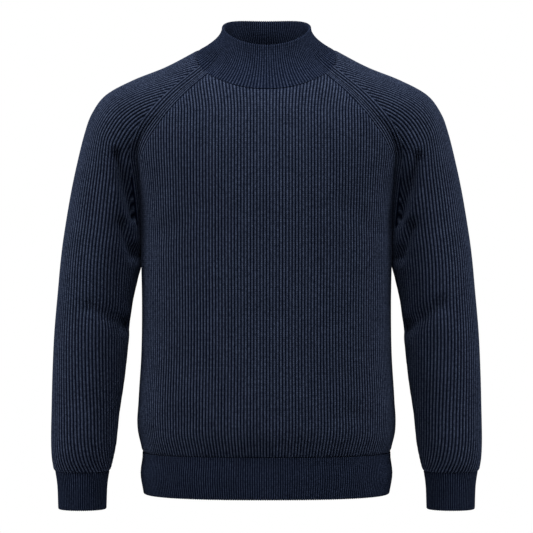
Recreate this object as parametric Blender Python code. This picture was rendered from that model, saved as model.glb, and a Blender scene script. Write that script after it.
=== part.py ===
"""A mock neck sweater in navy rib knit, filled out as if worn, with nothing inside it.

Metres, +Z up, the front towards -Y. The origin is in the middle of the neck seam, where a
wearer holds the sweater up. Each knitted piece is one closed wall: its ribs are raised in the
outer points, and its inner points are plain. The wearer's left is at +X.
"""

from collections import namedtuple

import bpy
import numpy as np

# Driving dimensions.
WALL = 0.0020  # cloth in the valley between two ribs
BAND_WALL = 0.0024  # collar, hem band and cuffs, which are knitted tighter
RIB_RELIEF = 0.0010
RIB_FADE = 0.008  # a rib dies away over this distance from a seam
ARMPIT_FADE = 0.050  # and over this distance from the underarm point
SEAM_HALF_GAP = 0.00022
SEAM_SINK = 0.00050  # how far a panel's edges are drawn in at a seam
ARMPIT_SINK = 0.0006  # and drawn in further around the underarm point
INNER_SETBACK = 0.0040  # an inner face stops this far short of a raglan or neck seam
UNDERARM_SETBACK = 0.0020  # or of the underarm seam of a sleeve
MOST_SETBACK = 0.7  # of the way to the next row of points
COLLAR_GAP = 0.0005
FOLD_FADE = 0.012  # a fold dies away over this distance from a seam
BODY_RIBS = 88  # across the front, and again across the back
SLEEVE_RIB_PITCH = 0.00522
INNER_STEP = 8  # one inner column for this many half ribs
INNER_CLOSE = 3  # or this many near an edge or a corner
SHOULDER_TURN = (0.107, 0.165)  # how far from the sleeve's outer line the raglan seam turns
RING_POWER = 2.5  # 2 is an ellipse, more is squarer
UNDERARM = (0.1865, 0.0, -0.2858)
HEM_TOP = -0.577
HEM_BOTTOM = -0.638
CUFF_TOP = -0.6045
CUFF_BOTTOM = -0.660
NECK_FRONT = -0.0417  # height of the neck seam at the centre front
NECK_BACK = 0.0220
NECK_FRONT_POWER = 2.2
FAN = 0.14  # how much further apart the ribs run at the neck corner than at the chest
FAN_FROM = -0.075
RING_COLUMNS = {"collar": 38, "hem_band": 54, "cuff": 24}
NAVY = (0.026, 0.034, 0.062, 1.0)

# Rings of the body: half of the width, and how far front and back stand from the middle.
BodyRing = namedtuple("BodyRing", "z half_width front back")
BODY = (
    BodyRing(-0.638, 0.1834, 0.110, 0.106),
    BodyRing(-0.610, 0.1880, 0.112, 0.108),
    BodyRing(-0.577, 0.1850, 0.112, 0.108),
    BodyRing(-0.545, 0.1922, 0.121, 0.116),
    BodyRing(-0.500, 0.1905, 0.124, 0.117),
    BodyRing(-0.430, 0.1863, 0.125, 0.112),
    BodyRing(-0.360, 0.1853, 0.126, 0.108),
    BodyRing(-0.2858, 0.1865, 0.127, 0.110),
    BodyRing(-0.200, 0.1880, 0.130, 0.116),
    BodyRing(-0.140, 0.1900, 0.128, 0.118),
    BodyRing(-0.100, 0.1900, 0.1225, 0.116),
    BodyRing(-0.070, 0.1900, 0.1145, 0.113),
    BodyRing(-0.0417, 0.1900, 0.1015, 0.108),
    BodyRing(-0.0123, 0.1900, 0.080, 0.098),
    BodyRing(0.0245, 0.1900, 0.060, 0.078),
)

# The sleeve from the neck edge to the cuff: its outer line, its two raglan edges (one and the
# same underarm seam from the ninth row on), and half its depth or the angle its arc spans.
SleeveRow = namedtuple("SleeveRow", "outer front back spread half_depth")
SLEEVE = (
    SleeveRow((0.1010, 0.000, 0.0240), (0.0925, -0.050, -0.0123), (0.0700, 0.050, 0.0245), 75, 0),
    SleeveRow((0.1510, 0.000, -0.0020), (0.1295, -0.075, -0.0452), (0.1080, 0.071, -0.0100), 85, 0),
    SleeveRow((0.2000, 0.000, -0.0215), (0.1592, -0.085, -0.0777), (0.1400, 0.083, -0.0450), 95, 0),
    SleeveRow((0.2395, 0.000, -0.0430), (0.1787, -0.079, -0.1048), (0.1660, 0.083, -0.0800), 104, 0),
    SleeveRow((0.2600, 0.001, -0.0695), (0.1907, -0.064, -0.1361), (0.1840, 0.072, -0.1150), 122, 0),
    SleeveRow((0.2713, 0.001, -0.0990), (0.1900, -0.053, -0.1604), (0.1900, 0.055, -0.1500), 136, 0),
    SleeveRow((0.2819, 0.000, -0.1420), (0.1880, -0.040, -0.1904), (0.1885, 0.040, -0.1904), 147, 0),
    SleeveRow((0.2920, -0.001, -0.1900), (0.1868, -0.024, -0.2308), (0.1870, 0.024, -0.2308), 160, 0),
    SleeveRow((0.3016, -0.003, -0.2483), UNDERARM, UNDERARM, 180, 0.0685),
    SleeveRow((0.3067, -0.005, -0.2883), (0.1935, -0.003, -0.3180), None, 180, 0.0660),
    SleeveRow((0.3110, -0.008, -0.3380), (0.2018, -0.007, -0.3580), None, 180, 0.0620),
    SleeveRow((0.3158, -0.012, -0.3980), (0.2068, -0.012, -0.4120), None, 180, 0.0580),
    SleeveRow((0.3182, -0.016, -0.4580), (0.2127, -0.016, -0.4680), None, 180, 0.0535),
    SleeveRow((0.3193, -0.019, -0.5130), (0.2202, -0.019, -0.5200), None, 180, 0.0490),
    SleeveRow((0.3199, -0.021, -0.5550), (0.2241, -0.021, -0.5600), None, 180, 0.0465),
    SleeveRow((0.3188, -0.022, -0.5830), (0.2289, -0.022, -0.5860), None, 180, 0.0420),
    SleeveRow((0.3155, -0.022, -0.6043), (0.2335, -0.022, -0.6043), None, 180, 0.0350),
)
UNDERARM_ROW = 8
WRIST_ROW = len(SLEEVE) - 1
SLEEVE_LEVELS = (0, 0.22, 0.42, 0.60, 0.79, 1)  # shares of the way from raglan edge to underarm row
ARM_LEVELS = (9.9, 10.6, 11.3, 13.4, 15.2, WRIST_ROW)
BODY_LEVELS = (-0.550, -0.460, -0.330)
CHEST_SHARES = (0.30, 0.58, 0.82, 1)  # of the way from the last of these levels to the top

# Folds of a sleeve, each from its start to its end in the front view (x, z). "arm" is -1 for the
# wearer's right, and "face" is -1 on the front of the sleeve and 1 on the back.
Fold = namedtuple("Fold", "arm face start end half_width depth")
FOLDS = (
    Fold(-1, -1, (0.2215, -0.140), (0.1930, -0.232), 0.0085, 0.0080),
    Fold(-1, -1, (0.2120, -0.236), (0.1980, -0.284), 0.0070, 0.0040),
    Fold(-1, -1, (0.2600, -0.361), (0.2060, -0.388), 0.0110, 0.0050),
    Fold(1, -1, (0.2235, -0.144), (0.1940, -0.236), 0.0085, 0.0075),
    Fold(1, -1, (0.2130, -0.240), (0.1990, -0.287), 0.0070, 0.0038),
    Fold(1, -1, (0.2570, -0.356), (0.2070, -0.392), 0.0110, 0.0055),
    Fold(-1, 1, (0.2240, -0.146), (0.1950, -0.238), 0.0090, 0.0050),
    Fold(-1, 1, (0.2500, -0.372), (0.2080, -0.384), 0.0120, 0.0035),
    Fold(1, 1, (0.2220, -0.142), (0.1940, -0.234), 0.0085, 0.0055),
    Fold(1, 1, (0.2560, -0.366), (0.2070, -0.390), 0.0120, 0.0040),
)

# The collar's top edge is low at the front only: its sides are nearly as high as the back.
COLLAR_HALF_WIDTH = 0.0665
COLLAR_FRONT = (-0.062, 0.0254)  # y and z of its top edge
COLLAR_BACK = (0.068, 0.0752)
COLLAR_DIP = 1.65  # 1 is a flat opening that leans forward, and more narrows the dip at the front
COLLAR_FLARE = 1.95
COLLAR_LEVELS = (0, 0.14, 0.38, 0.68, 1)
CUFF_MIDDLE = (0.2742, -0.022)
CuffRing = namedtuple("CuffRing", "z half_width half_depth")
CUFF = (
    CuffRing(CUFF_TOP, 0.0398, 0.0345),
    CuffRing(-0.618, 0.0376, 0.0335),
    CuffRing(CUFF_BOTTOM, 0.0354, 0.0318),
)
SAMPLES = 241


def smooth(places, values, at):
    """Values between the rows of a table, along a curve with no corners."""
    places = np.asarray(places, float)
    values = np.asarray(values, float)
    at = np.clip(np.asarray(at, float), places[0], places[-1])
    step = np.diff(places)
    rise = np.diff(values) / step
    slope = np.empty_like(values)
    slope[0], slope[-1] = rise[0], rise[-1]
    slope[1:-1] = (rise[:-1] * step[1:] + rise[1:] * step[:-1]) / (step[1:] + step[:-1])
    row = np.clip(np.searchsorted(places, at) - 1, 0, len(places) - 2)
    width = step[row]
    share = (at - places[row]) / width
    return (
        values[row] * (1 + 2 * share) * (1 - share) ** 2
        + slope[row] * width * share * (1 - share) ** 2
        + values[row + 1] * share**2 * (3 - 2 * share)
        + slope[row + 1] * width * share**2 * (share - 1)
    )


def fade(distance, over):
    """0 at no distance, rising softly to 1."""
    share = np.clip(distance / over, 0, 1)
    return share * share * (3 - 2 * share)


def rib_height(points, room, ridge):
    """How far each point stands out from the base, given its distance from the nearest seam and
    whether its column is a ridge (1) or a valley (0)."""
    armpit = np.linalg.norm(np.abs(points) - np.abs(UNDERARM), axis=-1)
    away = fade(room, RIB_FADE)
    clear = fade(armpit, ARMPIT_FADE)
    drawn_in = SEAM_SINK * (1 - away) + ARMPIT_SINK * (1 - clear)
    return RIB_RELIEF * ridge[:, None] * away * clear - drawn_in


# The body.


def raglan_edge(side):
    """The raglan seam of the front (side -1) or the back (side 1) as x, y, z from the underarm up."""
    name = "front" if side < 0 else "back"
    rows = SLEEVE[: UNDERARM_ROW + 1][::-1]
    return np.array([getattr(row, name) for row in rows]).T


def body_ring(side, z):
    """Half width and depth of the body's ring at each height. Above the underarm it runs
    through the raglan seam."""
    heights = [ring.z for ring in BODY]
    depth = smooth(heights, [ring.front if side < 0 else ring.back for ring in BODY], z)
    below = smooth(heights[:8], [ring.half_width for ring in BODY[:8]], z)
    edge_x, edge_y, edge_z = raglan_edge(side)
    seam_x = smooth(edge_z, edge_x, z)
    seam_y = np.abs(smooth(edge_z, edge_y, z))
    above = seam_x / (1 - (seam_y / depth) ** RING_POWER) ** (1 / RING_POWER)
    return np.where(z > UNDERARM[2], above, below), depth


def body_point(side, z, angle):
    """A point of the body at an angle from the centre front or back (0) to the side (90 degrees)."""
    half_width, depth = body_ring(side, z)
    x = half_width * np.sin(angle) ** (2 / RING_POWER)
    y = side * depth * np.cos(angle) ** (2 / RING_POWER)
    return np.stack(np.broadcast_arrays(x, y, z), axis=-1)


ANGLES = np.linspace(0, np.pi / 2, SAMPLES)


def ring_angle(side, x, z):
    """The angle at which the body's ring reaches x at height z."""
    return np.arcsin(np.clip(x / body_ring(side, z)[0], 0, 1) ** (RING_POWER / 2))


def neck_height(side, x):
    corner_x, _, corner_z = raglan_edge(side)[:, -1]
    middle, power = (NECK_FRONT, NECK_FRONT_POWER) if side < 0 else (NECK_BACK, 2)
    return middle + (corner_z - middle) * (x / corner_x) ** power


def girth(side, z):
    """How far each of ANGLES is round the body from the centre line, at one height."""
    ring = body_point(side, np.full(SAMPLES, z), ANGLES)
    steps = np.linalg.norm(np.diff(ring, axis=0), axis=1)
    return np.concatenate([[0], np.cumsum(steps)])


def quarter_girth(side, z):
    """The girth that the ribs are shared over. Above the underarm they keep their pitch, and
    fan out towards the neck."""
    if z <= UNDERARM[2]:
        return girth(side, z)[-1]
    corner = raglan_edge(side)[2][-1]
    fan = FAN * np.clip((z - FAN_FROM) / (corner - FAN_FROM), 0, 1) ** 1.5
    return girth(side, UNDERARM[2])[-1] * (1 + fan)


def panel_tops(side, shares, gap):
    """The height at which each rib line, named by its share of the quarter girth, ends on the
    raglan or neck seam."""
    edge_x, _, edge_z = raglan_edge(side)
    heights = np.linspace(edge_z[0], edge_z[-1], SAMPLES)
    ends = []
    for z in heights:
        angle = ring_angle(side, smooth(edge_z, edge_x, z), z)
        ends.append((np.interp(angle, ANGLES, girth(side, z)) - gap) / quarter_girth(side, z))
    neck_x = np.linspace(0, edge_x[-1], SAMPLES)
    neck_z = neck_height(side, neck_x) - gap
    neck_ends = []
    for x, z in zip(neck_x, neck_z):
        angle = ring_angle(side, x, z)
        neck_ends.append(np.interp(angle, ANGLES, girth(side, z)) / quarter_girth(side, z))
    on_neck = np.interp(np.abs(shares), neck_ends, neck_z)
    on_raglan = np.interp(-np.abs(shares), -np.array(ends), heights)
    return np.where(np.abs(shares) < ends[-1], on_neck, on_raglan)


def panel_grid(side, shares):
    """Base points of the front or back, a column for each rib line, and how far each point is
    from the panel's nearest seam."""
    tops = panel_tops(side, shares, SEAM_HALF_GAP)
    start = BODY_LEVELS[-1]
    points, room = [], []
    for share, top in zip(shares, tops):
        chest = start + (top - start) * np.array(CHEST_SHARES)
        levels = np.concatenate([[HEM_TOP + SEAM_HALF_GAP], BODY_LEVELS, chest])
        for z in levels:
            round_ring = girth(side, z)
            place = abs(share) * quarter_girth(side, z)
            if z <= UNDERARM[2]:
                place = min(place, round_ring[-1] - SEAM_HALF_GAP)
            point = body_point(side, z, np.interp(place, round_ring, ANGLES))
            point[0] *= np.sign(share)
            points.append(point)
            room.append(min(seam_distance(side, z, place), top - z, z - HEM_TOP))
    shape = (len(shares), len(levels))
    return np.array(points).reshape(*shape, 3), np.array(room).reshape(shape)


def seam_distance(side, z, place):
    """How far round the body a point is from the raglan seam, or from the side seam below it."""
    round_ring = girth(side, z)
    if z <= UNDERARM[2]:
        return round_ring[-1] - place
    edge_x, _, edge_z = raglan_edge(side)
    return np.interp(ring_angle(side, smooth(edge_z, edge_x, z), z), ANGLES, round_ring) - place


# The sleeve, made at +X. Its rows are numbered as in SLEEVE, with fractions between them.


def sleeve_frame(row):
    """The middle of the chord between the raglan edges, the outer point, half of the chord, the
    spread of the arc and half of its depth, all at one row."""
    rows = np.arange(len(SLEEVE))
    outer = np.array([smooth(rows, [r.outer[k] for r in SLEEVE], row) for k in range(3)])
    front = np.array([smooth(rows, [r.front[k] for r in SLEEVE], row) for k in range(3)])
    backs = [r.back or r.front for r in SLEEVE]
    back = np.array([smooth(rows, [b[k] for b in backs], row) for k in range(3)])
    spread = np.radians(smooth(rows, [r.spread for r in SLEEVE], row))
    depth = smooth(rows[UNDERARM_ROW:], [r.half_depth for r in SLEEVE[UNDERARM_ROW:]], row)
    return (front + back) / 2, outer, (back - front) / 2, spread, depth


def sleeve_ring(row):
    """One ring of the sleeve, from the front raglan edge over the outer line to the back one."""
    middle, outer, half_chord, spread, depth = sleeve_frame(row)
    if row >= UNDERARM_ROW - 1e-4:
        spread, chord = np.pi, np.array([0.0, 1.0, 0.0]) * depth
    else:
        chord = half_chord / np.sin(spread)
    angle = np.linspace(-spread, spread, 2 * SAMPLES - 1)[:, None]
    reach = (outer - middle) / (1 - np.cos(spread))
    return middle + reach * (np.cos(angle) - np.cos(spread)) + chord * np.sin(angle)


def sleeve_lengths(row):
    """The ring at a row, and how far each of its points is from the outer line (front negative)."""
    ring = sleeve_ring(row)
    steps = np.linalg.norm(np.diff(ring, axis=0), axis=1)
    along = np.concatenate([[0], np.cumsum(steps)])
    return ring, along - along[SAMPLES - 1]


def sleeve_ends(places, gap):
    """For each rib line, named by its distance from the outer line, the rows where it starts on
    the neck or raglan seam and where it ends on the underarm seam or at the wrist."""
    rows = np.linspace(0, WRIST_ROW, 321)
    edges = np.array([sleeve_lengths(row)[1][[0, -1]] for row in rows])
    starts, ends = [], []
    for place in places:
        edge = np.abs(edges[:, 0 if place < 0 else 1]) - gap
        top = rows <= UNDERARM_ROW
        low = rows >= UNDERARM_ROW
        starts.append(np.interp(abs(place), edge[top], rows[top]))
        ends.append(np.interp(-abs(place), -edge[low], rows[low]))
    return np.array(starts), np.array(ends)


def folded(point, arm, face):
    """How far the folds push a sleeve's point in."""
    push = 0.0
    for fold in FOLDS:
        if fold.arm != arm or fold.face != face:
            continue
        start, end = np.array(fold.start), np.array(fold.end)
        along = end - start
        share = np.clip((point[[0, 2]] - start) @ along / (along @ along), 0, 1)
        away = np.linalg.norm(point[[0, 2]] - start - share * along)
        push += fold.depth * np.exp(-((away / fold.half_width) ** 2))
    return push


def sleeve_grid(arm, places, gap):
    """Base points of a sleeve, a column for each rib line and no nearer to the underarm seam
    than the gap, how far each is from the nearest seam, and how far its folds push it in."""
    starts, ends = sleeve_ends(places, SEAM_HALF_GAP)
    points, room, push = [], [], []
    for place, start, end in zip(places, starts, ends):
        cap = start + (UNDERARM_ROW - start) * np.array(SLEEVE_LEVELS)
        squeeze = (end - UNDERARM_ROW) / (WRIST_ROW - UNDERARM_ROW)
        levels = np.concatenate([cap, UNDERARM_ROW + (np.array(ARM_LEVELS) - UNDERARM_ROW) * squeeze])
        for number, row in enumerate(levels):
            ring, along = sleeve_lengths(row)
            held = np.clip(place, along[0] + gap, along[-1] - gap)
            point = np.array([np.interp(held, along, ring[:, k]) for k in range(3)])
            to_seam = min(held - along[0], along[-1] - held)
            if number in (0, len(levels) - 1):
                to_seam = 0
            points.append(point)
            room.append(to_seam)
            push.append(folded(point, arm, np.sign(place)) * fade(to_seam, FOLD_FADE))
    shape = (len(places), len(levels))
    grid = np.array(points).reshape(*shape, 3)
    return grid, np.array(room).reshape(shape), np.array(push).reshape(shape)


# Walls.


def grid_normals(points, closed=False):
    """The way out of a grid of points, read from its neighbours."""
    if closed:
        across = np.roll(points, -1, axis=0) - np.roll(points, 1, axis=0)
    else:
        across = np.gradient(points, axis=0)
    normals = np.cross(across, np.gradient(points, axis=1))
    return normals / np.linalg.norm(normals, axis=2, keepdims=True)


def strip(first, second, first_at, second_at):
    """Triangles between a fine and a coarse chain of points, which advance by their places."""
    turns = [(here + there) / 2 for here, there in zip(second_at, second_at[1:])]
    faces = []
    i = j = 0
    while i < len(first) - 1 or j < len(second) - 1:
        if j == len(second) - 1 or (i < len(first) - 1 and first_at[i + 1] <= turns[j]):
            faces.append((first[i], first[i + 1], second[j]))
            i += 1
        else:
            faces.append((first[i], second[j + 1], second[j]))
            j += 1
    return faces


def grid_faces(numbers, closed):
    """Four-sided faces over a grid of point numbers, which may close on itself."""
    columns = [*numbers, numbers[0]] if closed else list(numbers)
    return [
        (here[r], there[r], there[r + 1], here[r + 1])
        for here, there in zip(columns, columns[1:])
        for r in range(len(here) - 1)
    ]


def flipped(faces):
    return [face[::-1] for face in faces]


def sunk(faces, points, out):
    """Four-sided faces split into triangles along whichever diagonal lies further in."""
    split = []
    for a, b, c, d in faces:
        if (points[a] + points[c] - points[b] - points[d]) @ out[a] < 0:
            split += [(a, b, c), (a, c, d)]
        else:
            split += [(a, b, d), (b, c, d)]
    return split


def wall(name, outer, inner, out, outer_at, inner_at, closed, colour):
    """One closed wall between an outer and an inner grid of points. "out" is the way out at each
    inner point."""
    outside = np.arange(outer.shape[0] * outer.shape[1]).reshape(outer.shape[:2])
    inside = np.arange(inner.shape[0] * inner.shape[1]).reshape(inner.shape[:2])
    within = sunk(grid_faces(inside, closed), inner.reshape(-1, 3), out.reshape(-1, 3))
    inside += outside.size
    faces = grid_faces(outside, closed) + flipped((np.array(within) + outside.size).tolist())
    wrap = [0] if closed else []
    out_order = list(range(len(outside))) + wrap
    in_order = list(range(len(inside))) + wrap
    out_at = list(outer_at) + [1.0] * closed
    in_at = list(inner_at) + [1.0] * closed
    for level, turn in ((0, True), (-1, False)):
        rim = strip(outside[out_order, level], inside[in_order, level], out_at, in_at)
        faces += flipped(rim) if turn else rim
    if not closed:
        out_rows = np.linspace(0, 1, outer.shape[1])
        in_rows = np.linspace(0, 1, inner.shape[1])
        faces += strip(outside[0], inside[0], out_rows, in_rows)
        faces += flipped(strip(outside[-1], inside[-1], out_rows, in_rows))
    points = np.concatenate([outer.reshape(-1, 3), inner.reshape(-1, 3)])
    corners = [(face[0], face[k], face[k + 1]) for face in faces for k in range(1, len(face) - 1)]
    a, b, c = points[np.array(corners)].transpose(1, 0, 2)
    if (a * np.cross(b, c)).sum() < 0:
        faces = flipped(faces)
    mesh = bpy.data.meshes.new(name)
    mesh.from_pydata(points.tolist(), [], [tuple(int(n) for n in face) for face in faces])
    obj = bpy.data.objects.new(name, mesh)
    bpy.context.scene.collection.objects.link(obj)
    mesh.materials.append(knit(name, colour))
    return obj


def knit(name, colour):
    material = bpy.data.materials.new(name)
    material.use_nodes = True
    shader = material.node_tree.nodes["Principled BSDF"]
    shader.inputs["Base Color"].default_value = colour
    shader.inputs["Roughness"].default_value = 0.92
    shader.inputs["Metallic"].default_value = 0.0
    return material


def inner_columns(count, corners=()):
    """The columns that the inside has: every few, and closer near its edges and corners."""
    close = [k + step for k in (1, count - 2, *corners) for step in (-INNER_CLOSE, 0, INNER_CLOSE)]
    every = range(INNER_STEP, count - INNER_STEP, INNER_STEP)
    return sorted({k for k in (*every, *close) if 0 < k < count - 1})


def drawn_back(grid, row, share):
    """The grid with its first or last row moved, by this share in each column, towards the row
    next to it."""
    moved = grid.copy()
    beside = 1 if row == 0 else row - 1
    moved[:, row] += (grid[:, beside] - grid[:, row]) * share[:, None]
    return moved


# Pieces.


def body_panel(name, side):
    shares = np.linspace(-1, 1, 2 * BODY_RIBS + 1)
    ridge = np.arange(len(shares)) % 2
    base, room = panel_grid(side, shares)
    out = grid_normals(base) * -side
    outer = base + out * rib_height(base, room, ridge)[..., None]
    corner = np.argmax(base[: len(shares) // 2, -1, 2])
    chosen = inner_columns(len(shares), (corner, len(shares) - 1 - corner))
    inner = (base - out * WALL)[chosen]
    top, below = base[chosen, -1, 2], base[chosen, -2, 2]
    back = (top - panel_tops(side, shares[chosen], INNER_SETBACK)) / (top - below)
    inner = drawn_back(inner, -1, np.clip(back, 0, MOST_SETBACK))
    return wall(name, outer, inner, out[chosen], shares, shares[chosen], False, NAVY)


def sleeve(name, arm):
    widest = sleeve_lengths(UNDERARM_ROW)[1][-1] - SEAM_HALF_GAP
    half = int(widest / (SLEEVE_RIB_PITCH / 2))
    numbers = np.arange(-half, half + 1)
    places = numbers * SLEEVE_RIB_PITCH / 2
    ridge = (numbers % 2 == 0).astype(float)
    base, room, push = sleeve_grid(arm, places, SEAM_HALF_GAP)
    out = -grid_normals(base)
    outer = base + out * (rib_height(base, room, ridge) - push)[..., None]
    turn = [k for k, place in enumerate(places) if SHOULDER_TURN[0] < abs(place) < SHOULDER_TURN[1]]
    on_neck = np.flatnonzero(sleeve_ends(places, SEAM_HALF_GAP)[0] == 0)
    chosen = inner_columns(len(places), (on_neck[0], on_neck[-1], *turn[::INNER_CLOSE]))
    deepest = np.max([np.roll(push, k, axis=0) for k in range(-INNER_STEP, INNER_STEP + 1)], axis=0)
    within, _, _ = sleeve_grid(arm, places[chosen], UNDERARM_SETBACK)
    inner = within - (out * (WALL + deepest)[..., None])[chosen]
    starts, _ = sleeve_ends(places[chosen], SEAM_HALF_GAP)
    inner_starts, _ = sleeve_ends(places[chosen], INNER_SETBACK)
    first_step = (UNDERARM_ROW - starts) * SLEEVE_LEVELS[1]
    inner = drawn_back(inner, 0, np.clip((inner_starts - starts) / first_step, 0, MOST_SETBACK))
    mirror = np.array([arm, 1, 1])
    out = out[chosen] * mirror
    return wall(name, outer * mirror, inner * mirror, out, places, places[chosen], False, NAVY)


def neck_line():
    """The neck seam all round, as one closed line of points from the centre front to the
    wearer's left, and back."""
    line = []
    for side in (-1, 1):
        x = np.linspace(0, raglan_edge(side)[0, -1], 25)
        z = neck_height(side, x)
        edge = body_point(side, z, ring_angle(side, x, z))
        line.append(edge if side < 0 else edge[::-1])
    half = np.concatenate([line[0][:-1], sleeve_ring(0)[::8], line[1][1:]])
    other = half[::-1][1:-1] * (-1, 1, 1)
    return np.concatenate([half, other])


def collar():
    columns = RING_COLUMNS["collar"]
    line = neck_line()
    bearing = np.unwrap(np.arctan2(line[:, 0], -line[:, 1]))
    turns = np.arange(columns) / columns * 2 * np.pi
    base = np.stack([np.interp(turns, bearing, line[:, k], period=2 * np.pi) for k in range(3)], axis=-1)
    middle = (COLLAR_FRONT[0] + COLLAR_BACK[0]) / 2
    reach = (COLLAR_BACK[0] - COLLAR_FRONT[0]) / 2
    low = ((1 + np.cos(turns)) / 2) ** COLLAR_DIP
    top = np.stack([
        COLLAR_HALF_WIDTH * np.sin(turns),
        middle - reach * np.cos(turns),
        COLLAR_BACK[1] + (COLLAR_FRONT[1] - COLLAR_BACK[1]) * low,
    ], axis=-1)
    rows = []
    for level in COLLAR_LEVELS:
        inward = 1 - (1 - level) ** COLLAR_FLARE
        row = base + (top - base) * np.array([inward, inward, level])
        row[:, 2] += COLLAR_GAP * (1 - level)
        rows.append(row)
    outer = np.stack(rows, axis=1)
    out = grid_normals(outer, closed=True)
    inner = outer - out * BAND_WALL
    first = np.linalg.norm(inner[:, 1] - inner[:, 0], axis=1)
    inner = drawn_back(inner, 0, np.clip(INNER_SETBACK / first, 0, MOST_SETBACK))
    at = np.arange(columns) / columns
    return wall("collar", outer, inner, out, at, at, True, NAVY)


def hem_band():
    half = RING_COLUMNS["hem_band"] // 2
    rows = []
    for z in (HEM_BOTTOM, (HEM_BOTTOM + HEM_TOP) / 2, HEM_TOP - SEAM_HALF_GAP):
        ring = []
        for side in (-1, 1):
            lengths = girth(side, z)
            places = np.linspace(-lengths[-1], lengths[-1], half + 1)[:-1] * -side
            points = body_point(side, z, np.interp(np.abs(places), lengths, ANGLES))
            points[:, 0] *= np.sign(places)
            ring.append(points)
        rows.append(np.concatenate(ring))
    outer = np.stack(rows, axis=1)
    return band("hem_band", outer)


def cuff(name, arm):
    turns = np.arange(RING_COLUMNS["cuff"]) / RING_COLUMNS["cuff"] * 2 * np.pi
    heights = [ring.z for ring in CUFF][::-1]
    rows = []
    for z in (CUFF_BOTTOM, (CUFF_BOTTOM + CUFF_TOP) / 2, CUFF_TOP - SEAM_HALF_GAP):
        width = smooth(heights, [ring.half_width for ring in CUFF][::-1], z)
        depth = smooth(heights, [ring.half_depth for ring in CUFF][::-1], z)
        x = arm * (CUFF_MIDDLE[0] + width * np.sin(turns * arm))
        y = CUFF_MIDDLE[1] - depth * np.cos(turns)
        rows.append(np.stack([x, y, np.full(len(turns), z)], axis=-1))
    return band(name, np.stack(rows, axis=1))


def band(name, outer):
    """A plain band: its outer rings, and an inner ring at each end."""
    out = grid_normals(outer, closed=True)
    inner = outer - out * BAND_WALL
    at = np.arange(len(outer)) / len(outer)
    return wall(name, outer, inner[:, [0, -1]], out[:, [0, -1]], at, at, True, NAVY)


def build():
    for obj in list(bpy.data.objects):
        bpy.data.objects.remove(obj, do_unlink=True)
    body_panel("front", -1)
    body_panel("back", 1)
    sleeve("sleeve_right", -1)
    sleeve("sleeve_left", 1)
    collar()
    hem_band()
    cuff("cuff_right", -1)
    cuff("cuff_left", 1)


build()
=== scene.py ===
"""The looks of a mock neck sweater in navy rib knit, filled out as if worn.

Metres, +Z up, the front towards -Y, the origin in the middle of the neck seam. Each knitted
piece is a thin shell that follows its solid, with every rib, seam and fold in its mesh.
"""

from collections import namedtuple

import bpy
import numpy as np
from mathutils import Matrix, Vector


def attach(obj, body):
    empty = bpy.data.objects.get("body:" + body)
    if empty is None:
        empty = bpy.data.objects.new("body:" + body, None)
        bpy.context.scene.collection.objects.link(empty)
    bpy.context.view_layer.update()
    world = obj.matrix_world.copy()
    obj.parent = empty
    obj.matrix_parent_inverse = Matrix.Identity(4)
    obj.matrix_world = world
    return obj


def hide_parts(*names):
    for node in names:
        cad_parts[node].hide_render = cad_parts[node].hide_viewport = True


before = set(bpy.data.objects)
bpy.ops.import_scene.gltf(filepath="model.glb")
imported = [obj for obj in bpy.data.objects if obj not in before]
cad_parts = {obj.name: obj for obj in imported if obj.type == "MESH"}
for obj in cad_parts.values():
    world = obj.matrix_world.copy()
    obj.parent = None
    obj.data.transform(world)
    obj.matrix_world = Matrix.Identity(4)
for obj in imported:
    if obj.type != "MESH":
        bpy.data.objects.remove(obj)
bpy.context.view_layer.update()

# Knitting.
BODY_RIBS = 112  # across the front, and again across the back
SLEEVE_RIB_PITCH = 0.0051
BAND_RIB_PITCH = 0.0044  # the ribs that run along the raglan seams
BAND_RIBS = 3  # on each side of a raglan seam
COLLAR_RIBS = 132
HEM_RIBS = 292
CUFF_RIBS = 70
RIB_POINTS = 6  # points across one rib
RIB_HEIGHT = 0.0017
RIB_SINK = 0.0007  # of which this much lies below the solid's base
FINE_RIB_HEIGHT = 0.0009
FINE_RIB_SINK = 0.0004
RIB_ROUNDNESS = 0.7  # below 1 a rib is round with a narrow valley
RIB_FADE = 0.004  # a rib dies away over this distance at a seam
SEAM_DIP = 0.0010
STITCH = 0.0030  # height of one stitch
WALL = 0.0016
BAND_WALL = 0.0028
BAND_LAP = 0.0015  # how far the cloth runs in under a raglan rib
BAND_END = 0.030  # the raglan ribs taper over this distance above the underarm
BAND_LEAST = 0.12  # to this share of their width
BAND_TURN = 0.015  # this near the neck they turn to end along its seam
BAND_FLAT = 0.004  # they sink flat as they get narrower than this
EDGE_FADE = 0.012  # folds die away this near a seam

# The cut, as in the solids.
RING_POWER = 2.5
UNDERARM = (0.1865, 0.0, -0.2858)
HEM_TOP = -0.577
HEM_BOTTOM = -0.638
CUFF_TOP = -0.6045
CUFF_BOTTOM = -0.660
NECK_FRONT = -0.0417
NECK_BACK = 0.0220
NECK_FRONT_POWER = 2.2
FAN = 0.14
FAN_FROM = -0.075
COLLAR_HALF_WIDTH = 0.0665
COLLAR_FRONT = (-0.062, 0.0254)
COLLAR_BACK = (0.068, 0.0752)
COLLAR_DIP = 1.65
COLLAR_FLARE = 1.95
CUFF_MIDDLE = (0.2742, -0.022)
CHEST_FROM = -0.330  # above this height the rows of the body follow its top edge

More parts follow.
